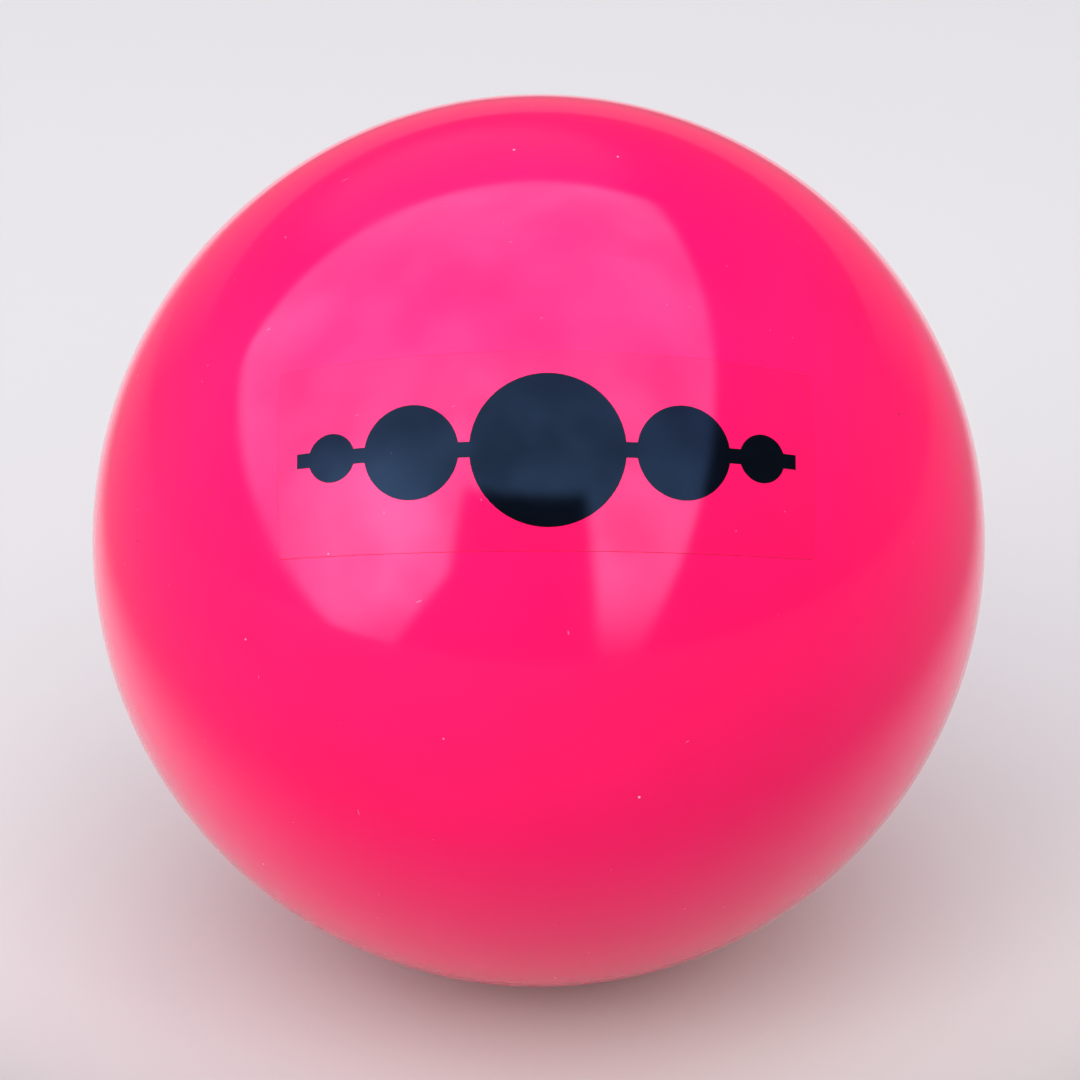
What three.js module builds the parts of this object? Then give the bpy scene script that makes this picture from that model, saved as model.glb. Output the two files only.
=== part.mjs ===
// Indoor hockey ball: a moulded cork core, wound with twine, inside two lapped PVC half shells.
// A printed transfer film lies on the front half.
// Millimetres, +Z up, front along -Y, origin at the centre of the ball.
import * as THREE from "three";

// Cover
const BALL_DIAMETER = 73;
const COVER_WALL = 5.5;
const LAP_DEPTH = 3; // how far the front half's tongue reaches past the parting line
const FIT_CLEARANCE = 0.3; // left between pieces that touch in the finished ball

// Twine
const TWINE_DIAMETER = 2.6;
const TWINE_GAP = 0.7; // least gap between neighbouring turns
const TWINE_END_RADIUS = 6; // radius of the first and the last turn

// Print
const BEAD_DIAMETERS = [11.5, 7.2, 3.8]; // from the middle bead outwards
const BEAD_GAP = 0.75;
const STRIPE_HEIGHT = 1.2;
const STRIPE_OVERHANG = 1; // how far the stripe runs past the last bead
const INK_THICKNESS = 0.1;
const FILM_MARGIN = 1.75; // film beyond the ink on every side
const FILM_THICKNESS = 0.1;
const PRINT_CLEARANCE = 0.05; // under the film and under the ink
const PRINT_ELEVATION = 37.5; // degrees that the middle of the print faces above level

// Facets
const LATHE_STEPS = 48;
const COVER_ARC_STEPS = 12; // from a pole to the parting line
const CORE_ARC_STEPS = 20; // from pole to pole
const CORE_LATHE_STEPS = 30;
const TURN_STEPS = 24;
const TWINE_SIDES = 6;
const BEAD_STEPS = 8;
const PRINT_SAG = 0.06; // most that a flat facet of the print dips below its round surface

// Radii worked out from the sizes, from the outside in
const ballRadius = BALL_DIAMETER / 2;
const cavityRadius = ballRadius - COVER_WALL;
const cavityFlats = Math.cos(Math.PI / LATHE_STEPS) * Math.cos(Math.PI / (4 * COVER_ARC_STEPS));
const twineRadius = TWINE_DIAMETER / 2;
const windingRadius = cavityRadius * cavityFlats - FIT_CLEARANCE - twineRadius;
const windingFlats = Math.cos(Math.PI / TURN_STEPS);
const coreRadius = windingRadius * windingFlats - twineRadius - FIT_CLEARANCE;
const filmRadius = ballRadius + PRINT_SAG + PRINT_CLEARANCE;
const inkRadius = filmRadius + FILM_THICKNESS + PRINT_SAG + PRINT_CLEARANCE;
const printFacet = Math.sqrt(4 * ballRadius * PRINT_SAG); // longest side of a square facet

const pvc = new THREE.MeshStandardMaterial({ color: 0xff1262, roughness: 0.12, metalness: 0 });
const clearFilm = new THREE.MeshStandardMaterial({ color: 0xf2105c, roughness: 0.08, metalness: 0 });
const ink = new THREE.MeshStandardMaterial({ color: 0x141c30, roughness: 0.15, metalness: 0 });
const twine = new THREE.MeshStandardMaterial({ color: 0xd8c8a0, roughness: 0.9, metalness: 0 });
const cork = new THREE.MeshStandardMaterial({ color: 0x9a6a40, roughness: 0.95, metalness: 0 });

// Points of an arc about the centre, as radius from the axis and height along it.
function arcPoints(radius, fromAngle, toAngle, steps) {
  const points = [];
  for (let i = 0; i <= steps; i += 1) {
    const angle = fromAngle + ((toAngle - fromAngle) * i) / steps;
    points.push(new THREE.Vector2(radius * Math.sin(angle), radius * Math.cos(angle)));
  }
  return points;
}

// A turned solid about +Z. Its profile runs from the top down the outside, and a lathe's runs up.
function turned(profile, steps) {
  return new THREE.LatheGeometry(profile.toReversed(), steps).rotateX(Math.PI / 2);
}

// A half shell with its pole on +Z. Its wall steps in at lapRadius and ends at the height lapEnd.
function halfShell(lapRadius, lapEnd) {
  const rimHeight = FIT_CLEARANCE / 2;
  const rimAngle = Math.acos(rimHeight / ballRadius);
  const lapAngle = Math.acos(lapEnd / cavityRadius);
  const profile = [
    ...arcPoints(ballRadius, 0, rimAngle, COVER_ARC_STEPS),
    new THREE.Vector2(lapRadius, rimHeight),
    new THREE.Vector2(lapRadius, lapEnd),
    ...arcPoints(cavityRadius, lapAngle, 0, COVER_ARC_STEPS),
  ];
  return turned(profile, LATHE_STEPS);
}

function coreBall() {
  return turned(arcPoints(coreRadius, 0, Math.PI, CORE_ARC_STEPS), CORE_LATHE_STEPS);
}

// The twine's middle line: a spiral over the core from near one pole to near the other.
function windingLine() {
  const endAngle = Math.asin(TWINE_END_RADIUS / windingRadius);
  const sweep = Math.PI - 2 * endAngle;
  const turns = Math.floor((sweep * windingRadius) / (TWINE_DIAMETER + TWINE_GAP));
  const steps = turns * TURN_STEPS;
  const line = [];
  for (let i = 0; i <= steps; i += 1) {
    const polar = endAngle + (sweep * i) / steps;
    const around = (2 * Math.PI * i) / TURN_STEPS;
    line.push(new THREE.Vector3().setFromSphericalCoords(windingRadius, polar, around));
  }
  return line;
}

// A closed tube along the line, each section standing square to the core.
function twineTube(line) {
  const positions = [];
  const faces = [];
  line.forEach((point, i) => {
    const ahead = line[Math.min(i + 1, line.length - 1)];
    const behind = line[Math.max(i - 1, 0)];
    const outward = point.clone().normalize();
    const sideways = ahead.clone().sub(behind).cross(outward).normalize();
    for (let k = 0; k < TWINE_SIDES; k += 1) {
      const angle = (2 * Math.PI * k) / TWINE_SIDES;
      const corner = point.clone();
      corner.addScaledVector(outward, twineRadius * Math.cos(angle));
      corner.addScaledVector(sideways, twineRadius * Math.sin(angle));
      positions.push(...corner);
    }
  });
  for (let i = 0; i < line.length - 1; i += 1) {
    for (let k = 0; k < TWINE_SIDES; k += 1) {
      const here = i * TWINE_SIDES + k;
      const beside = i * TWINE_SIDES + ((k + 1) % TWINE_SIDES);
      faces.push(here, beside, here + TWINE_SIDES);
      faces.push(beside, beside + TWINE_SIDES, here + TWINE_SIDES);
    }
  }
  const last = (line.length - 1) * TWINE_SIDES;
  for (let k = 1; k < TWINE_SIDES - 1; k += 1) {
    faces.push(0, k + 1, k);
    faces.push(last, last + k, last + k + 1);
  }
  const geometry = new THREE.BufferGeometry();
  geometry.setAttribute("position", new THREE.Float32BufferAttribute(positions, 3));
  geometry.setIndex(faces);
  geometry.computeVertexNormals();
  return geometry.rotateX(Math.PI / 2);
}

// Least gap between the twine and its own neighbouring turns, measured on the points of its line.
function leastSelfGap(line) {
  const halfTurn = Math.ceil(TURN_STEPS / 2);
  let least = Infinity;
  for (let i = 0; i < line.length; i += 1) {
    for (let j = i + halfTurn; j < line.length; j += 1) {
      least = Math.min(least, line[i].distanceTo(line[j]));
    }
  }
  return least - TWINE_DIAMETER;
}

// Lays a flat sheet in X and Y, with its thickness in Z, on a ball of the given radius.
// Lengths out from the middle of the sheet are kept.
function wrapOnBall(sheet, radius) {
  const position = sheet.getAttribute("position");
  const point = new THREE.Vector3();
  for (let i = 0; i < position.count; i += 1) {
    point.fromBufferAttribute(position, i);
    const reach = Math.hypot(point.x, point.y);
    const around = Math.atan2(point.y, point.x);
    const polar = reach / radius;
    const height = radius + point.z;
    point.set(Math.cos(around) * Math.sin(polar), Math.sin(around) * Math.sin(polar), Math.cos(polar));
    position.setXYZ(i, ...point.multiplyScalar(height));
  }
  sheet.computeVertexNormals();
  return sheet;
}

// Middle and radius of each bead of the print, from left to right.
function beadRow() {
  const right = [];
  let edge = -BEAD_DIAMETERS[0] / 2;
  for (const diameter of BEAD_DIAMETERS) {
    right.push({ middle: edge + diameter / 2, radius: diameter / 2 });
    edge += diameter + BEAD_GAP;
  }
  const left = right.slice(1).map(({ middle, radius }) => ({ middle: -middle, radius }));
  return [...left.reverse(), ...right];
}

// Half heights of the print along its length: the stripe, swelling into each bead in turn.
function printOutline() {
  const beads = beadRow();
  const stripe = STRIPE_HEIGHT / 2;
  const lastBead = beads[beads.length - 1];
  const end = lastBead.middle + lastBead.radius + STRIPE_OVERHANG;
  const outline = [{ along: -end, half: stripe }];
  for (const { middle, radius } of beads) {
    const start = Math.asin(stripe / radius);
    for (let i = 0; i <= BEAD_STEPS; i += 1) {
      const angle = start + ((Math.PI - 2 * start) * i) / BEAD_STEPS;
      outline.push({ along: middle - radius * Math.cos(angle), half: radius * Math.sin(angle) });
    }
  }
  outline.push({ along: end, half: stripe });
  return outline;
}

function largestHalf(outline) {
  return Math.max(...outline.map(({ half }) => half));
}

// The ink: a flat ribbon with the outline's half heights, laid on the film.
function inkRibbon(outline) {
  const spans = outline.length - 1;
  const rows = Math.ceil((2 * largestHalf(outline)) / printFacet);
  const ribbon = new THREE.BoxGeometry(spans, 2, INK_THICKNESS, spans, rows, 1);
  ribbon.translate(spans / 2, 0, INK_THICKNESS / 2);
  const position = ribbon.getAttribute("position");
  for (let i = 0; i < position.count; i += 1) {
    const { along, half } = outline[Math.round(position.getX(i))];
    position.setXY(i, along, position.getY(i) * half);
  }
  return wrapOnBall(ribbon, inkRadius);
}

// The film: a rectangle round the ink.
function filmSheet(outline) {
  const length = 2 * (outline[outline.length - 1].along + FILM_MARGIN);
  const height = 2 * (largestHalf(outline) + FILM_MARGIN);
  const columns = Math.ceil(length / printFacet);
  const rows = Math.ceil(height / printFacet);
  const sheet = new THREE.BoxGeometry(length, height, FILM_THICKNESS, columns, rows, 1);
  return wrapOnBall(sheet.translate(0, 0, FILM_THICKNESS / 2), filmRadius);
}

function piece(name, geometry, material) {
  const mesh = new THREE.Mesh(geometry, material);
  mesh.name = name;
  return mesh;
}

// The lap runs round the middle of the cover's wall.
const lapRadius = ballRadius - COVER_WALL / 2;
const tongue = halfShell(lapRadius - FIT_CLEARANCE / 2, -LAP_DEPTH);
const rebate = halfShell(lapRadius + FIT_CLEARANCE / 2, LAP_DEPTH + FIT_CLEARANCE);
const rearCover = piece("rear_cover", rebate, pvc);
rearCover.rotation.x = Math.PI;

const twineLine = windingLine();
console.log(`least gap between turns of twine: ${leastSelfGap(twineLine).toFixed(2)} mm`);

const outline = printOutline();

// The print's middle is the pole of the covers. The whole ball is turned to face it to the front.
const ball = new THREE.Group();
ball.add(piece("cork_core", coreBall(), cork));
ball.add(piece("twine_winding", twineTube(twineLine), twine));
ball.add(piece("front_cover", tongue, pvc));
ball.add(rearCover);
ball.add(piece("print_film", filmSheet(outline), clearFilm));
ball.add(piece("print_ink", inkRibbon(outline), ink));
ball.rotation.x = THREE.MathUtils.degToRad(90 - PRINT_ELEVATION);

const part = new THREE.Group();
part.add(ball);

export default part;
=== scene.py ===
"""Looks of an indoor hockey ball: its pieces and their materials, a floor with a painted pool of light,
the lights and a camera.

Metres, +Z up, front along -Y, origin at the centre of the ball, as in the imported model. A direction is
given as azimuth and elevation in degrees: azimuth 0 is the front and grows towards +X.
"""
import math

import bmesh
import bpy
from mathutils import Matrix, Quaternion, Vector, noise


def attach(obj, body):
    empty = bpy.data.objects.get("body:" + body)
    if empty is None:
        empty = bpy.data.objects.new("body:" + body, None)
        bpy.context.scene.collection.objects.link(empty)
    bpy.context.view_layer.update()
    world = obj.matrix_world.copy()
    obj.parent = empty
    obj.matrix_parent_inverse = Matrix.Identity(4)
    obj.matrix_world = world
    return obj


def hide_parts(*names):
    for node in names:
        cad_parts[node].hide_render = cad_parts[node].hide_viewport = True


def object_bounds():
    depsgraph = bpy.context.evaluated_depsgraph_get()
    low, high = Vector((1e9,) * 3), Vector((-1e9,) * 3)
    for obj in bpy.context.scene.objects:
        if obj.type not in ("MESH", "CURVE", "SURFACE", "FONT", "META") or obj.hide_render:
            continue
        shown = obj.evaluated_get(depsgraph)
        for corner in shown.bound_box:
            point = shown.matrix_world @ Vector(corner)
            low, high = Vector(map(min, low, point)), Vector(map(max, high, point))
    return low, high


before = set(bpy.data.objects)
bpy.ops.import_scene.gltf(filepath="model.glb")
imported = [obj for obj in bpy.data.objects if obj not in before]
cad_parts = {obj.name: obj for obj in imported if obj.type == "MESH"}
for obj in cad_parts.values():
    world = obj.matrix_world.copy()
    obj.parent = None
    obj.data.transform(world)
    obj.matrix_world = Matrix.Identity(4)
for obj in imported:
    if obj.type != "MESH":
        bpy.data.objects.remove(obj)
cad_low, cad_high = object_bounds()

MM = 0.001
ball_radius = (cad_high.z - cad_low.z) / 2

# Cover
COVER_WALL = 5.5 * MM
LAP_DEPTH = 3 * MM
LAP_CLEARANCE = 0.05 * MM
PARTING_GAP = 0.02 * MM
RIM_EASE = 0.08 * MM  # how far the round of the outer rim reaches
INNER_EASE = 0.4 * MM  # how far the rounds of the lap reach
COVER_TURN_STEPS = 192
COVER_ARC_STEPS = 64
INNER_ARC_STEPS = 24
EASE_STEPS = 4

# Print
PRINT_ELEVATION = 37.5  # degrees that the middle of the print faces above level
BEAD_DIAMETERS = (11.5 * MM, 7.2 * MM, 3.8 * MM)  # from the middle bead outwards
BEAD_GAP = 0.75 * MM
STRIPE_HEIGHT = 1.2 * MM
STRIPE_OVERHANG = 1 * MM
INK_THICKNESS = 0.015 * MM
INK_EASE = 0.03 * MM  # how far its upper edge is drawn in
BEAD_STEPS = 32
INK_ROWS = 12
FILM_MARGIN = 1.75 * MM
FILM_CORNER = 0.3 * MM
FILM_THICKNESS = 0.04 * MM
FILM_EASE = 0.06 * MM  # how far its upper edge is drawn in
FILM_ROWS = 20
FILM_COLUMNS = 48
CORNER_STEPS = 6
PRINT_SINK = 0.02 * MM  # how far the underside of film and ink sits in what is below it

# Twine
TWINE_DIAMETER = 2.6 * MM
TWINE_TURNS = 24
TWINE_END_RADIUS = 6 * MM
TWINE_CLEARANCE = 0.43 * MM  # between the twine and the inside of the cover
TWINE_PLIES = 3
TWINE_LAY = 12 * MM  # length of one full twist of the plies
TWINE_GROOVE = 0.16  # share of the twine's radius that is lost between two plies
TWINE_TURN_STEPS = 144
TWINE_SIDES = 12

# Cork
GRAIN_SIZE = 3.5 * MM
GRAIN_DIP = 0.25 * MM
GRAIN_GAP = 0.3  # width of the dip between two grains, as a share of the grain
CORE_TURN_STEPS = 160
CORE_ARC_STEPS = 80

SHARP_ANGLE = math.radians(33)  # a mesh is shaded smooth where its faces turn less than this

# Pink plastic of the cover and the film
COVER_COLOURS = ((0.98, 0.0045, 0.115, 1), (0.95, 0.004, 0.106, 1))
FILM_COLOURS = ((0.93, 0.004, 0.1, 1), (0.9, 0.004, 0.095, 1))
CLOUDING_SIZE = 14 * MM
PLASTIC_ROUGHNESS = (0.07, 0.12)
PLASTIC_GLOSS_SIZE = 9 * MM  # size of the patches of more and less gloss
PLASTIC_IOR = 1.5
PLASTIC_SPECULAR = 0.6
PLASTIC_TINT = (1, 0.5, 1, 1)  # of what it mirrors
RIPPLE_SIZE = 5 * MM
RIPPLE_DEPTH = 0.004 * MM

# Dust and scratches
SPECK_SIZE = 0.24 * MM
PALE_SPECK_SPACING = 4.5 * MM
PALE_SPECK_COLOUR = (1, 0.5, 0.62, 1)
DARK_SPECK_SPACING = 7.3 * MM
DARK_SPECK_COLOUR = (0.25, 0.005, 0.03, 1)
SCRATCH_SPACING = 1.8 * MM
SCRATCH_WIDTH = 0.12 * MM
SCRATCH_LENGTH = 0.8 * MM
SCRATCH_ANGLES = (25, 100)
PLASTIC_SCRATCH_COLOUR = (1, 0.12, 0.25, 1)
INK_SCRATCH_COLOUR = (0.02, 0.024, 0.03, 1)

# Cut edge of the film, painted darker all round as shade so that it reads as a thin dark line
EDGE_SHADE_COLOURS = ((0.74, 0.0035, 0.074, 1), (0.56, 0.003, 0.054, 1))
EDGE_SHADE_PATCH_SIZE = 2 * MM
EDGE_ROUGHNESS = 0.3
EDGE_SPECULAR = 0.4

# Ink
INK_COLOURS = ((0.0008, 0.001, 0.002, 1), (0.0012, 0.0016, 0.003, 1))
INK_TONE_SIZE = 1.5 * MM
INK_ROUGHNESS = (0.06, 0.1)
INK_GLOSS_SIZE = 6 * MM
INK_SPECULAR = 0.3
INK_TINT = (0.25, 0.48, 1, 1)

# Fibre of the twine
TWINE_COLOURS = ((0.52, 0.42, 0.24, 1), (0.78, 0.68, 0.46, 1))
STRAND_SIZE = 0.7 * MM
FUZZ_SIZE = 0.25 * MM
FUZZ_DEPTH = 0.08 * MM
TWINE_ROUGHNESS = 0.9

# Grains and binder of the cork
CORK_COLOURS = ((0.22, 0.09, 0.03, 1), (0.46, 0.23, 0.09, 1))
BINDER_COLOUR = (0.06, 0.03, 0.015, 1)
BINDER_REACH = (0.08, 0.02)  # shares of a grain from its joints where the binder starts and is full
CORK_PORE_SIZE = 0.5 * MM
CORK_PORE_DEPTH = 0.05 * MM
CORK_ROUGHNESS = 0.92

# Noise
NOISE_SPAN = (0.3, 0.7)  # most of the noise lies between these two
SOFT_DETAIL = 2
CLOUD_DETAIL = 3
FINE_DETAIL = 4
FIBRE_DETAIL = 6

# Numbers of a mix node's sockets for colours
MIX_FACTOR = 0
MIX_FIRST = 6
MIX_SECOND = 7
MIX_RESULT = 2

# Camera, from the ball's outline in the photograph
PHOTO_SIZE = 1080
PHOTO_BALL_MIDDLE = (538.75, 540.38)
PHOTO_BALL_RADIUS = 446.3
CAMERA_RADII = 8  # distance from the middle of the ball, in radii of the ball
CAMERA_FROM = (-1.2, 27)
CAMERA_ROLL = 0.6
CAMERA_NEAR = 10 * MM  # the camera sees nothing that is nearer to it

# Floor, with a painted pool of light: pale round the ball and behind it, fading to grey further out
FLOOR_RADIUS = 1.1
FLOOR_THICKNESS = 10 * MM
FLOOR_STEPS = 64
# Pale colour of the painted pool of light, and the grey painted where that light has fallen off
FLOOR_POOL_COLOURS = ((0.54, 0.53, 0.505, 1), (0.22, 0.215, 0.205, 1))
FLOOR_ROUGHNESS = 0.9
POOL_RUN = (1.3 * ball_radius, 9 * ball_radius)  # where its palest line starts and ends behind the ball
POOL_RADIUS = 1.9 * ball_radius  # how far from that line the floor stays pale
POOL_FADE_RADIUS = 3 * ball_radius  # where it has faded to grey
POOL_WIDENING = 1.5  # how many times longer these two are at the far end of the line

# Room
WHITE = (1, 1, 1, 1)
LEFT = (-90, 0)
ROOM_LIGHT = 0.2
LEFT_LIGHT = 0.34  # light from the left of the room
BACK_SPOT = (180, 20)  # direction of the room's back, which is darker
BACK_SPREAD = (80, 25)  # degrees from that direction where the back starts and is darkest
BACK_TIMES = 0.45  # the back's light, as a share of the room's
STRIP_TOP = (13, 11.5)  # elevations where a low pale strip at the back ends and where it is full
STRIP_LIGHT = 0.26
GLOW_SPOT = (-165, 44)  # direction of a soft glow high at the back
GLOW_SPREAD = (30, 12)
GLOW_LIGHT = 0.18

# Light panel
PANEL_RADIUS = 1.2
PANEL_SUBDIVISIONS = 4
PANEL_LIGHT = (1.19, 2.21)  # in the dark and the light of its clouds
CLOUD_SIZE = 0.35  # in radii of the panel, as is all softness
PANEL_COLOUR = (0.92, 0.92, 1.1, 1)  # away from its front, which is white
# Of each edge of the panel, the direction that its bright side faces, and its softness
PANEL_EDGES = (
    ((-67, 34), 0.05),
    ((-2, 37), 0.05),
    ((35, 61), 0.07),
)
FOOT_FACING = (-90, 82)  # direction that the panel's foot faces, tilted to the left
FOOT_RISE = (-10, 17)  # degrees above the foot's plane where the light starts and is full
FRONT_SPOT = (-10, 18)  # direction of the panel's front, which is brighter
FRONT_SPREAD = (68, 34)  # degrees from that direction where the front starts and is full
FRONT_TIMES = 1.6
BRIGHT_SPOT = (-50, 18)  # direction of its brightest part
BRIGHT_SPREAD = (28, 6)
BRIGHT_TIMES = 1.5
# The dark slot in the panel that the camera looks through, with the directions that its sides face
SLOT_LEFT_FACING = (66, 0)
SLOT_FOOT_FACING = (56, -29)  # of the slanted foot of its left side
SLOT_RIGHT_FACING = (-77, 0)
SLOT_TOP = 40  # elevation where it ends
SLOT_SOFTNESS = 0.06

# Fill lamp
FILL_FROM = (110, 40)
FILL_STRENGTH = 2
FILL_SPREAD = math.radians(90)

to_rest = Matrix.Rotation(math.radians(90 - PRINT_ELEVATION), 4, "X")


# Geometry

def arc(radius, from_angle, to_angle, steps):
    """Points of an arc about the centre, as distance from the axis and height along it."""
    points = []
    for i in range(steps + 1):
        angle = from_angle + (to_angle - from_angle) * i / steps
        points.append(Vector((radius * math.sin(angle), radius * math.cos(angle))))
    return points


def eased(before, corner, after, ease):
    """Points of a small round that takes the place of a corner."""
    start = corner + (before - corner).normalized() * ease
    end = corner + (after - corner).normalized() * ease
    points = []
    for i in range(EASE_STEPS + 1):
        t = i / EASE_STEPS
        points.append(start * (1 - t) ** 2 + corner * 2 * t * (1 - t) + end * t ** 2)
    return points


def turned(profile, steps):
    """Vertices and faces of a profile turned about +Z. Its first and last points lie on the axis."""
    rings = profile[1:-1]
    verts = [Vector((0, 0, profile[0].y))]
    for radius, height in rings:
        for k in range(steps):
            around = 2 * math.pi * k / steps
            verts.append(Vector((radius * math.cos(around), radius * math.sin(around), height)))
    verts.append(Vector((0, 0, profile[-1].y)))
    last = len(verts) - 1
    faces = []
    for k in range(steps):
        beside = (k + 1) % steps
        faces.append((0, 1 + k, 1 + beside))
        for i in range(len(rings) - 1):
            here = 1 + i * steps
            below = here + steps
            faces.append((here + k, below + k, below + beside, here + beside))
        faces.append((last - steps + k, last, last - steps + beside))
    return verts, faces


def half_shell(lap_radius, lap_end):
    """A half of the cover with its pole on +Z. Its wall steps in at lap_radius and ends at lap_end."""
    cavity = ball_radius - COVER_WALL
    rim = PARTING_GAP / 2
    outside = arc(ball_radius, 0, math.acos(rim / ball_radius), COVER_ARC_STEPS)
    inside = arc(cavity, math.acos(lap_end / cavity), 0, INNER_ARC_STEPS)
    step_in = Vector((lap_radius, rim))
    step_down = Vector((lap_radius, lap_end))
    profile = [
        *outside[:-1],
        *eased(outside[-2], outside[-1], step_in, RIM_EASE),
        *eased(outside[-1], step_in, step_down, INNER_EASE),
        *eased(step_in, step_down, inside[0], INNER_EASE),
        *inside,
    ]
    return turned(profile, COVER_TURN_STEPS)


def on_ball(along, across, radius):
    """A point of a flat sheet laid on the ball about +Z. Lengths out from its middle are kept."""
    around = math.atan2(across, along)
    polar = math.hypot(along, across) / ball_radius
    flat = math.sin(polar)
    return radius * Vector((math.cos(around) * flat, math.sin(around) * flat, math.cos(polar)))


def sheet(outline, rows, low, high, ease):
    """A thin closed sheet on the ball, from radius low to high, with its upper edge drawn in by ease.

    The outline is a list of places along the sheet and the half height there. The faces of the edge
    come last, and their number is given back as well.
    """
    end = outline[-1][0]
    columns = len(outline)
    row_count = rows + 1
    verts = []
    for radius, drawn_in in ((low, 0), (high, ease)):
        for along, half in outline:
            for row in range(row_count):
                across = (half - drawn_in) * (2 * row / rows - 1)
                verts.append(on_ball(along * (1 - drawn_in / end), across, radius))
    upper = columns * row_count
    faces = []
    for i in range(columns - 1):
        for row in range(rows):
            here = i * row_count + row
            beside = here + row_count
            faces.append((here, here + 1, beside + 1, beside))
            faces.append((upper + here, upper + beside, upper + beside + 1, upper + here + 1))
    lower_edge = [i * row_count for i in range(columns)]
    right_edge = [(columns - 1) * row_count + row for row in range(1, row_count)]
    upper_edge = [i * row_count + rows for i in reversed(range(columns - 1))]
    left_edge = list(reversed(range(1, rows)))
    loop = lower_edge + right_edge + upper_edge + left_edge
    for here, following in zip(loop, loop[1:] + loop[:1]):
        faces.append((here, following, upper + following, upper + here))
    return verts, faces, len(loop)


def bead_row():
    """Middle and radius of each bead of the print, from left to right."""
    right = []
    edge = -BEAD_DIAMETERS[0] / 2
    for diameter in BEAD_DIAMETERS:
        right.append((edge + diameter / 2, diameter / 2))
        edge += diameter + BEAD_GAP
    left = [(-middle, radius) for middle, radius in reversed(right[1:])]
    return left + right


def ink_outline():
    """The stripe, swelling into each bead in turn."""
    beads = bead_row()
    stripe = STRIPE_HEIGHT / 2
    end = sum(beads[-1]) + STRIPE_OVERHANG
    outline = [(-end, stripe)]
    for middle, radius in beads:
        start = math.asin(stripe / radius)
        for i in range(BEAD_STEPS + 1):
            angle = start + (math.pi - 2 * start) * i / BEAD_STEPS
            outline.append((middle - radius * math.cos(angle), radius * math.sin(angle)))
    outline.append((end, stripe))
    return outline


def film_outline(ink):
    """A rectangle with small round corners, a margin wider than the ink all round."""
    half_length = ink[-1][0] + FILM_MARGIN
    half_height = max(half for along, half in ink) + FILM_MARGIN
    corner = []
    for i in range(CORNER_STEPS):
        angle = math.pi / 2 * i / CORNER_STEPS
        along = half_length - FILM_CORNER * (1 - math.cos(angle))
        corner.append((along, half_height - FILM_CORNER * (1 - math.sin(angle))))
    straight_end = half_length - FILM_CORNER
    straight = []
    for i in range(FILM_COLUMNS + 1):
        straight.append((straight_end * (2 * i / FILM_COLUMNS - 1), half_height))
    left = [(-along, half) for along, half in corner]
    return left + straight + corner[::-1]


def winding_radius():
    """Radius of the ball that the twine's middle line lies on."""
    return ball_radius - COVER_WALL - TWINE_CLEARANCE - TWINE_DIAMETER / 2


def winding_line():
    """The twine's middle line: a spiral over the core from near one pole to near the other."""
    radius = winding_radius()
    first = math.asin(TWINE_END_RADIUS / radius)
    steps = TWINE_TURNS * TWINE_TURN_STEPS
    line = []
    for i in range(steps + 1):
        polar = first + (math.pi - 2 * first) * i / steps
        around = 2 * math.pi * i / TWINE_TURN_STEPS
        flat = math.sin(polar)
        line.append(radius * Vector((flat * math.sin(around), -flat * math.cos(around), math.cos(polar))))
    return line


def twine_section(twist):
    """Distances and angles of the points round a section of plied twine."""
    points = []
    for k in range(TWINE_SIDES):
        angle = 2 * math.pi * k / TWINE_SIDES
        crown = abs(math.cos(TWINE_PLIES / 2 * (angle - twist)))
        points.append((TWINE_DIAMETER / 2 * (1 - TWINE_GROOVE * (1 - crown)), angle))
    return points


def plied_twine(line):
    """A closed tube of twisted plies along the line."""
    verts = []
    run = 0
    for i, point in enumerate(line):
        behind = line[max(i - 1, 0)]
        ahead = line[min(i + 1, len(line) - 1)]
        run += (point - behind).length
        outward = point.normalized()
        sideways = (ahead - behind).cross(outward).normalized()
        for reach, angle in twine_section(2 * math.pi * run / TWINE_LAY):
            verts.append(point + reach * (math.cos(angle) * outward + math.sin(angle) * sideways))
    faces = []
    for i in range(len(line) - 1):
        for k in range(TWINE_SIDES):
            here = i * TWINE_SIDES + k
            beside = i * TWINE_SIDES + (k + 1) % TWINE_SIDES
            faces.append((here, beside, beside + TWINE_SIDES, here + TWINE_SIDES))
    last = (len(line) - 1) * TWINE_SIDES
    faces.append(tuple(reversed(range(TWINE_SIDES))))
    faces.append(tuple(range(last, last + TWINE_SIDES)))
    return verts, faces


def grain_dip(point):
    """How far the core's surface dips at a point: most in the joints between two grains."""
    distances = noise.voronoi(point / GRAIN_SIZE)[0]
    joint = 1 - (distances[1] - distances[0]) / GRAIN_GAP
    return GRAIN_DIP * max(joint, 0)


def cork_ball():
    """The core, with the grains of its cork standing out of its surface."""
    radius = winding_radius() - TWINE_DIAMETER / 2
    verts, faces = turned(arc(radius, 0, math.pi, CORE_ARC_STEPS), CORE_TURN_STEPS)
    return [vert * (1 - grain_dip(vert) / radius) for vert in verts], faces


# Nodes

def feed(tree, node, inputs):
    """Links each input of a node that is given a socket, and sets the others."""
    for key, value in inputs.items():
        if isinstance(value, bpy.types.NodeSocket):
            tree.links.new(value, node.inputs[key])
        else:
            node.inputs[key].default_value = value


def add_node(tree, kind, inputs=None, **settings):
    """A new node with the given settings, its inputs linked or set."""
    node = tree.nodes.new("ShaderNode" + kind)
    for name, value in settings.items():
        setattr(node, name, value)
    feed(tree, node, inputs or {})
    return node


def combine(tree, operation, first, second):
    """The result of a math operation on two values."""
    return add_node(tree, "Math", {0: first, 1: second}, operation=operation).outputs[0]


def ramp(tree, value, start, end, low=0, high=1):
    """Goes smoothly from low, where the value is start, to high, where it is end."""
    inputs = {"Value": value, "From Min": start, "From Max": end, "To Min": low, "To Max": high}
    return add_node(tree, "MapRange", inputs, interpolation_type="SMOOTHSTEP").outputs[0]


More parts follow.
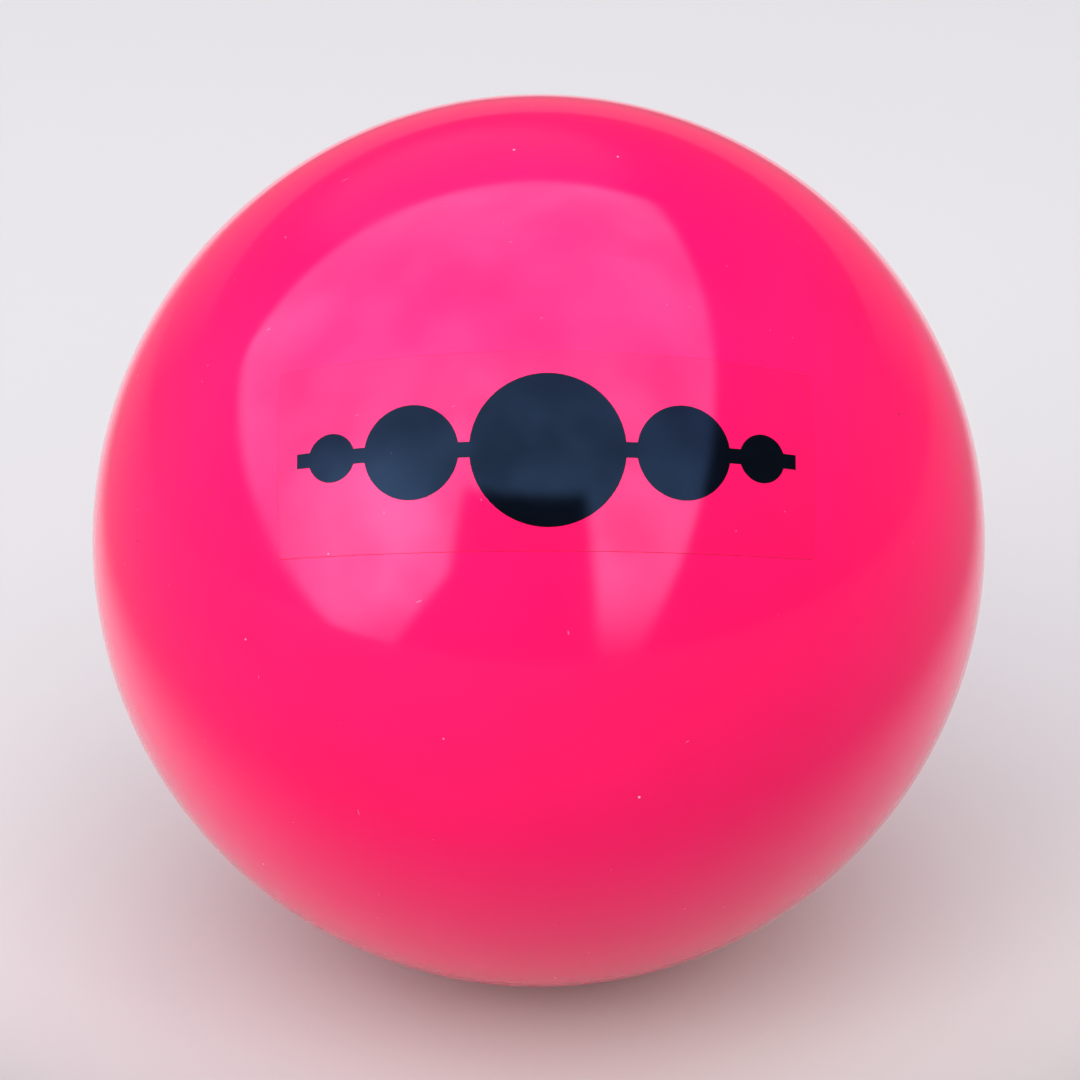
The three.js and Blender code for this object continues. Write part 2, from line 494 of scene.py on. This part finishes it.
def mottle(tree, place, size, detail=SOFT_DETAIL):
    """Soft noise from 0 to 1 with blotches of about the given size."""
    inputs = {"Vector": place, "Scale": 1 / size, "Detail": detail}
    return add_node(tree, "TexNoise", inputs).outputs["Fac"]


def patches(tree, place, size, detail=SOFT_DETAIL, low=0, high=1):
    """Soft noise with more contrast, from low to high."""
    return ramp(tree, mottle(tree, place, size, detail), *NOISE_SPAN, low, high)


def specks(tree, place, spacing, size):
    """1 in sparse round specks up to the given size, and 0 elsewhere."""
    cells = add_node(tree, "TexVoronoi", {"Vector": place, "Scale": 1 / spacing})
    edge = size / 2 / spacing
    return ramp(tree, cells.outputs["Distance"], edge, edge / 2)


def scratches(tree, place, angle):
    """1 in sparse short scratches that run one way, and 0 elsewhere."""
    inputs = {"Vector": place, "Angle": math.radians(angle)}
    turned_place = add_node(tree, "VectorRotate", inputs, rotation_type="Y_AXIS").outputs[0]
    shorter = (SCRATCH_WIDTH / SCRATCH_LENGTH, 1, 1)
    drawn_in = add_node(tree, "VectorMath", {0: turned_place, 1: shorter}, operation="MULTIPLY").outputs[0]
    return specks(tree, drawn_in, SCRATCH_SPACING, SCRATCH_WIDTH)


def mix_colours(tree, factor, first, second):
    """A colour between the first, where the factor is 0, and the second, where it is 1."""
    inputs = {MIX_FACTOR: factor, MIX_FIRST: first, MIX_SECOND: second}
    return add_node(tree, "Mix", inputs, data_type="RGBA").outputs[MIX_RESULT]


def bump(tree, height, depth):
    """A normal that follows small heights up to the given depth."""
    return add_node(tree, "Bump", {"Height": height, "Distance": depth, "Strength": 1}).outputs["Normal"]


def new_material(name):
    """An empty material, its node tree, its main shader and the object's own coordinates."""
    material = bpy.data.materials.new(name)
    material.use_nodes = True
    tree = material.node_tree
    tree.nodes.clear()
    shader = add_node(tree, "BsdfPrincipled")
    add_node(tree, "OutputMaterial", {"Surface": shader.outputs["BSDF"]})
    place = add_node(tree, "TexCoord").outputs["Object"]
    return material, tree, shader, place


# Materials

def pvc(name, colours):
    """Polished pink plastic: faint clouding, a slightly uneven gloss, specks of dust and scratches."""
    material, tree, shader, place = new_material(name)
    base = mix_colours(tree, patches(tree, place, CLOUDING_SIZE), *colours)
    pale = specks(tree, place, PALE_SPECK_SPACING, SPECK_SIZE)
    base = mix_colours(tree, pale, base, PALE_SPECK_COLOUR)
    dark = specks(tree, place, DARK_SPECK_SPACING, SPECK_SIZE)
    base = mix_colours(tree, dark, base, DARK_SPECK_COLOUR)
    for angle in SCRATCH_ANGLES:
        base = mix_colours(tree, scratches(tree, place, angle), base, PLASTIC_SCRATCH_COLOUR)
    feed(tree, shader, {
        "Base Color": base,
        "Roughness": patches(tree, place, PLASTIC_GLOSS_SIZE, FINE_DETAIL, *PLASTIC_ROUGHNESS),
        "Normal": bump(tree, mottle(tree, place, RIPPLE_SIZE), RIPPLE_DEPTH),
        "IOR": PLASTIC_IOR,
        "Specular IOR Level": PLASTIC_SPECULAR,
        "Specular Tint": PLASTIC_TINT,
    })
    return material


def film_edge_painted_shade():
    """The cut edge of the film, painted darker as shade, in patches of two dark tones."""
    material, tree, shader, place = new_material("film_edge_painted_shade")
    feed(tree, shader, {
        # The base colour here is painted shade: the edge is darkened so that it shows as a shadowed line.
        "Base Color": mix_colours(tree, patches(tree, place, EDGE_SHADE_PATCH_SIZE), *EDGE_SHADE_COLOURS),
        "Roughness": EDGE_ROUGHNESS,
        "Specular IOR Level": EDGE_SPECULAR,
    })
    return material


def printing_ink():
    """Glossy dark ink, a little uneven in tone, with fine scratches."""
    material, tree, shader, place = new_material("printing_ink")
    base = mix_colours(tree, patches(tree, place, INK_TONE_SIZE), *INK_COLOURS)
    for angle in SCRATCH_ANGLES:
        base = mix_colours(tree, scratches(tree, place, angle), base, INK_SCRATCH_COLOUR)
    feed(tree, shader, {
        "Base Color": base,
        "Roughness": patches(tree, place, INK_GLOSS_SIZE, FINE_DETAIL, *INK_ROUGHNESS),
        "Specular IOR Level": INK_SPECULAR,
        "Specular Tint": INK_TINT,
    })
    return material


def natural_twine():
    """Undyed twisted fibre."""
    material, tree, shader, place = new_material("natural_twine")
    strands = patches(tree, place, STRAND_SIZE, FIBRE_DETAIL)
    feed(tree, shader, {
        "Base Color": mix_colours(tree, strands, *TWINE_COLOURS),
        "Roughness": TWINE_ROUGHNESS,
        "Normal": bump(tree, mottle(tree, place, FUZZ_SIZE, FINE_DETAIL), FUZZ_DEPTH),
    })
    return material


def grained_cork():
    """Pressed cork: grains of several browns with dark binder between them."""
    material, tree, shader, place = new_material("grained_cork")
    grains = {"Vector": place, "Scale": 1 / GRAIN_SIZE}
    cells = add_node(tree, "TexVoronoi", grains)
    joints = add_node(tree, "TexVoronoi", grains, feature="DISTANCE_TO_EDGE")
    tone = add_node(tree, "SeparateColor", {"Color": cells.outputs["Color"]}).outputs[0]
    binder = ramp(tree, joints.outputs["Distance"], *BINDER_REACH)
    feed(tree, shader, {
        "Base Color": mix_colours(tree, binder, mix_colours(tree, tone, *CORK_COLOURS), BINDER_COLOUR),
        "Roughness": CORK_ROUGHNESS,
        "Normal": bump(tree, mottle(tree, place, CORK_PORE_SIZE, FINE_DETAIL), CORK_PORE_DEPTH),
    })
    return material


# Pieces

def add_object(name, data):
    """A new object in the scene."""
    thing = bpy.data.objects.new(name, data)
    bpy.context.scene.collection.objects.link(thing)
    return thing


def add_mesh(name, verts, faces, material):
    """A new mesh in the scene, shaded smooth apart from its sharp edges."""
    mesh = bpy.data.meshes.new(name)
    mesh.from_pydata(verts, [], faces)
    mesh.shade_smooth()
    mesh.set_sharp_from_angle(angle=SHARP_ANGLE)
    mesh.materials.append(material)
    return add_object(name, mesh)


def add_piece(name, node, material, shape, turn=Matrix.Identity(4)):
    """A piece of the ball, modelled about the print's axis, that stands for a node of the frame."""
    verts, faces = shape
    placed = to_rest @ turn
    piece = add_mesh(name, [placed @ vert for vert in verts], faces, material)
    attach(piece, "root")
    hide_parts(node)
    return piece


def add_cover():
    """The two half shells, lapped in the middle of the cover's wall."""
    lap_radius = ball_radius - COVER_WALL / 2
    material = pvc("cover_pvc", COVER_COLOURS)
    tongue = half_shell(lap_radius - LAP_CLEARANCE / 2, -LAP_DEPTH)
    rebate = half_shell(lap_radius + LAP_CLEARANCE / 2, LAP_DEPTH + LAP_CLEARANCE)
    add_piece("front_half_shell", "front_cover", material, tongue)
    add_piece("rear_half_shell", "rear_cover", material, rebate, Matrix.Rotation(math.pi, 4, "X"))


def add_print():
    """The film, with its cut edge in a material of its own that is painted darker as shade, and the ink on
    it.
    """
    ink = ink_outline()
    film = film_outline(ink)
    film_top = ball_radius + FILM_THICKNESS
    ink_top = film_top + INK_THICKNESS
    *film_shape, edge_count = sheet(film, FILM_ROWS, ball_radius - PRINT_SINK, film_top, FILM_EASE)
    *ink_shape, _ = sheet(ink, INK_ROWS, film_top - PRINT_SINK, ink_top, INK_EASE)
    film_material = pvc("film_gloss", FILM_COLOURS)
    film_piece = add_piece("transfer_film", "print_film", film_material, film_shape)
    # The film's cut edge gets a material whose darker colour is painted shade.
    film_piece.data.materials.append(film_edge_painted_shade())
    for face in film_piece.data.polygons[-edge_count:]:
        face.material_index = 1
    add_piece("bead_print", "print_ink", printing_ink(), ink_shape)


def add_centre():
    """The twine and the core that it is wound on."""
    add_piece("twine", "twine_winding", natural_twine(), plied_twine(winding_line()))
    add_piece("cork_ball", "cork_core", grained_cork(), cork_ball())


# Camera and floor

def facing(azimuth, elevation):
    """Unit vector in a direction."""
    around = math.radians(azimuth)
    up = math.radians(elevation)
    return Vector((math.sin(around) * math.cos(up), -math.cos(around) * math.cos(up), math.sin(up)))


def add_camera():
    """A camera that shows the ball where the photograph shows it, at the same size."""
    focal = PHOTO_BALL_RADIUS * math.sqrt(CAMERA_RADII ** 2 - 1)
    data = bpy.data.cameras.new("camera")
    data.angle = 2 * math.atan(PHOTO_SIZE / 2 / focal)
    data.shift_x = (PHOTO_SIZE / 2 - PHOTO_BALL_MIDDLE[0]) / PHOTO_SIZE
    data.shift_y = (PHOTO_BALL_MIDDLE[1] - PHOTO_SIZE / 2) / PHOTO_SIZE
    data.clip_start = CAMERA_NEAR
    camera = add_object("camera", data)
    back = facing(*CAMERA_FROM)
    camera.rotation_mode = "QUATERNION"
    camera.location = back * CAMERA_RADII * ball_radius
    roll = Quaternion((0, 0, 1), math.radians(CAMERA_ROLL))
    camera.rotation_quaternion = back.to_track_quat("Z", "Y") @ roll
    bpy.context.scene.camera = camera


def floor_painted_light_pool():
    """Matt paper with a painted pool of light: pale round the ball and behind it, fading to grey further
    out.
    """
    material, tree, shader, place = new_material("floor_painted_light_pool")
    start, end = POOL_RUN
    behind = add_node(tree, "SeparateXYZ", {0: place}).outputs["Y"]
    along = add_node(tree, "Clamp", {"Value": behind, "Min": start, "Max": end}).outputs[0]
    nearest = add_node(tree, "CombineXYZ", {"Y": along, "Z": -ball_radius}).outputs[0]
    reach = add_node(tree, "VectorMath", {0: place, 1: nearest}, operation="DISTANCE").outputs["Value"]
    widening = ramp(tree, along, start, end, 1, POOL_WIDENING)
    reach = combine(tree, "DIVIDE", reach, widening)
    fade = ramp(tree, reach, POOL_RADIUS, POOL_FADE_RADIUS)
    feed(tree, shader, {
        # This graded base colour is a painted pool of light, not the paper's own colour.
        "Base Color": mix_colours(tree, fade, *FLOOR_POOL_COLOURS),
        "Roughness": FLOOR_ROUGHNESS,
        "Specular IOR Level": 0,
    })
    return material


def add_floor():
    """A round floor that the ball lies on."""
    top = -ball_radius
    profile = [Vector((0, top)), Vector((FLOOR_RADIUS, top)), Vector((0, top - FLOOR_THICKNESS))]
    add_mesh("floor", *turned(profile, FLOOR_STEPS), floor_painted_light_pool())


# Light

def rise(elevation):
    """Height of a unit vector with the given elevation."""
    return math.sin(math.radians(elevation))


def towards(tree, direction, azimuth, elevation):
    """Cosine of the angle between a direction and the one that is given."""
    inputs = {0: direction, 1: facing(azimuth, elevation)}
    return add_node(tree, "VectorMath", inputs, operation="DOT_PRODUCT").outputs["Value"]


def side(tree, direction, azimuth, elevation, softness):
    """1 on the half of all directions about the one that is given, and 0 on the other half."""
    return ramp(tree, towards(tree, direction, azimuth, elevation), -softness / 2, softness / 2)


def closeness(tree, direction, spot, spread):
    """1 close to a spot, and 0 far from it. The spread is the angles where it starts and where it is 1."""
    start, full = (math.cos(math.radians(angle)) for angle in spread)
    return ramp(tree, towards(tree, direction, *spot), start, full)


def scaled(tree, light, part, times):
    """A light multiplied by times where the part is 1, and as it was where the part is 0."""
    return combine(tree, "MULTIPLY", light, ramp(tree, part, 0, 1, 1, times))


def room_light(tree, direction):
    """Strength of the room's light: more at the left, less at the back but for a glow and a strip."""
    light = ramp(tree, towards(tree, direction, *LEFT), 0, 1, ROOM_LIGHT, LEFT_LIGHT)
    back = closeness(tree, direction, BACK_SPOT, BACK_SPREAD)
    light = scaled(tree, light, back, BACK_TIMES)
    glow = closeness(tree, direction, GLOW_SPOT, GLOW_SPREAD)
    light = combine(tree, "ADD", light, ramp(tree, glow, 0, 1, 0, GLOW_LIGHT))
    up = add_node(tree, "SeparateXYZ", {0: direction}).outputs["Z"]
    none, full = (rise(elevation) for elevation in STRIP_TOP)
    strip = combine(tree, "MULTIPLY", back, ramp(tree, up, none, full, 0, STRIP_LIGHT))
    return combine(tree, "MAXIMUM", light, strip)


def camera_slot(tree, direction):
    """0 in the slot of the panel that the camera looks through, and 1 elsewhere."""
    up = add_node(tree, "SeparateXYZ", {0: direction}).outputs["Z"]
    top = rise(SLOT_TOP)
    slot = ramp(tree, up, top, top - SLOT_SOFTNESS)
    left = side(tree, direction, *SLOT_LEFT_FACING, SLOT_SOFTNESS)
    left = combine(tree, "MAXIMUM", left, side(tree, direction, *SLOT_FOOT_FACING, SLOT_SOFTNESS))
    slot = combine(tree, "MULTIPLY", slot, left)
    slot = combine(tree, "MULTIPLY", slot, side(tree, direction, *SLOT_RIGHT_FACING, SLOT_SOFTNESS))
    return combine(tree, "SUBTRACT", 1, slot)


def panel_light(tree, direction, front):
    """Strength of the panel's light: clouded, brighter at the front, and nothing past its edges."""
    light = patches(tree, direction, CLOUD_SIZE, CLOUD_DETAIL, *PANEL_LIGHT)
    light = scaled(tree, light, front, FRONT_TIMES)
    brightest = closeness(tree, direction, BRIGHT_SPOT, BRIGHT_SPREAD)
    light = scaled(tree, light, brightest, BRIGHT_TIMES)
    for edge_facing, softness in PANEL_EDGES:
        light = combine(tree, "MULTIPLY", light, side(tree, direction, *edge_facing, softness))
    light = combine(tree, "MULTIPLY", light, camera_slot(tree, direction))
    start, full = (rise(angle) for angle in FOOT_RISE)
    over_foot = ramp(tree, towards(tree, direction, *FOOT_FACING), start, full)
    return combine(tree, "MULTIPLY", light, over_foot)


def panel_cloth():
    """Lit cloth. At its edges it is as dim as the room."""
    material = bpy.data.materials.new("panel_cloth")
    material.use_nodes = True
    material.cycles.emission_sampling = "NONE"
    tree = material.node_tree
    tree.nodes.clear()
    place = add_node(tree, "TexCoord").outputs["Object"]
    direction = add_node(tree, "VectorMath", {0: place}, operation="NORMALIZE").outputs[0]
    front = closeness(tree, direction, FRONT_SPOT, FRONT_SPREAD)
    strength = combine(tree, "ADD", panel_light(tree, direction, front), room_light(tree, direction))
    colour = mix_colours(tree, front, PANEL_COLOUR, WHITE)
    glow = add_node(tree, "Emission", {"Color": colour, "Strength": strength})
    add_node(tree, "OutputMaterial", {"Surface": glow.outputs[0]})
    return material


def on_panel(face):
    """True for a face of a sphere that reaches above level and inside each of the panel's edges."""
    directions = [vert.co.normalized() for vert in face.verts]
    for edge_facing, softness in PANEL_EDGES:
        if max(direction.dot(facing(*edge_facing)) for direction in directions) < -softness / 2:
            return False
    return max(direction.z for direction in directions) > 0


def add_panel():
    """A curved panel of lit cloth over the left of the ball, which the camera doesn't see."""
    shell = bmesh.new()
    bmesh.ops.create_icosphere(shell, subdivisions=PANEL_SUBDIVISIONS, radius=PANEL_RADIUS)
    spare = [face for face in shell.faces if not on_panel(face)]
    bmesh.ops.delete(shell, geom=spare, context="FACES")
    mesh = bpy.data.meshes.new("light_panel")
    shell.to_mesh(mesh)
    shell.free()
    mesh.materials.append(panel_cloth())
    panel = add_object("light_panel", mesh)
    panel.visible_camera = False


def add_fill():
    """A wide soft lamp at the right, which the gloss doesn't mirror."""
    data = bpy.data.lights.new("fill", "SUN")
    data.energy = FILL_STRENGTH
    data.angle = FILL_SPREAD
    lamp = add_object("fill", data)
    lamp.rotation_mode = "QUATERNION"
    lamp.rotation_quaternion = facing(*FILL_FROM).to_track_quat("Z", "Y")
    lamp.visible_glossy = False


def add_room():
    """The dim grey of the room."""
    world = bpy.data.worlds.new("room")
    world.use_nodes = True
    world.cycles.sampling_method = "NONE"
    tree = world.node_tree
    tree.nodes.clear()
    direction = add_node(tree, "TexCoord").outputs["Generated"]
    background = add_node(tree, "Background", {"Color": WHITE, "Strength": room_light(tree, direction)})
    add_node(tree, "OutputWorld", {"Surface": background.outputs[0]})
    bpy.context.scene.world = world


bpy.context.scene.view_settings.view_transform = "Standard"
add_camera()
add_cover()
add_print()
add_centre()
add_floor()
add_panel()
add_fill()
add_room()
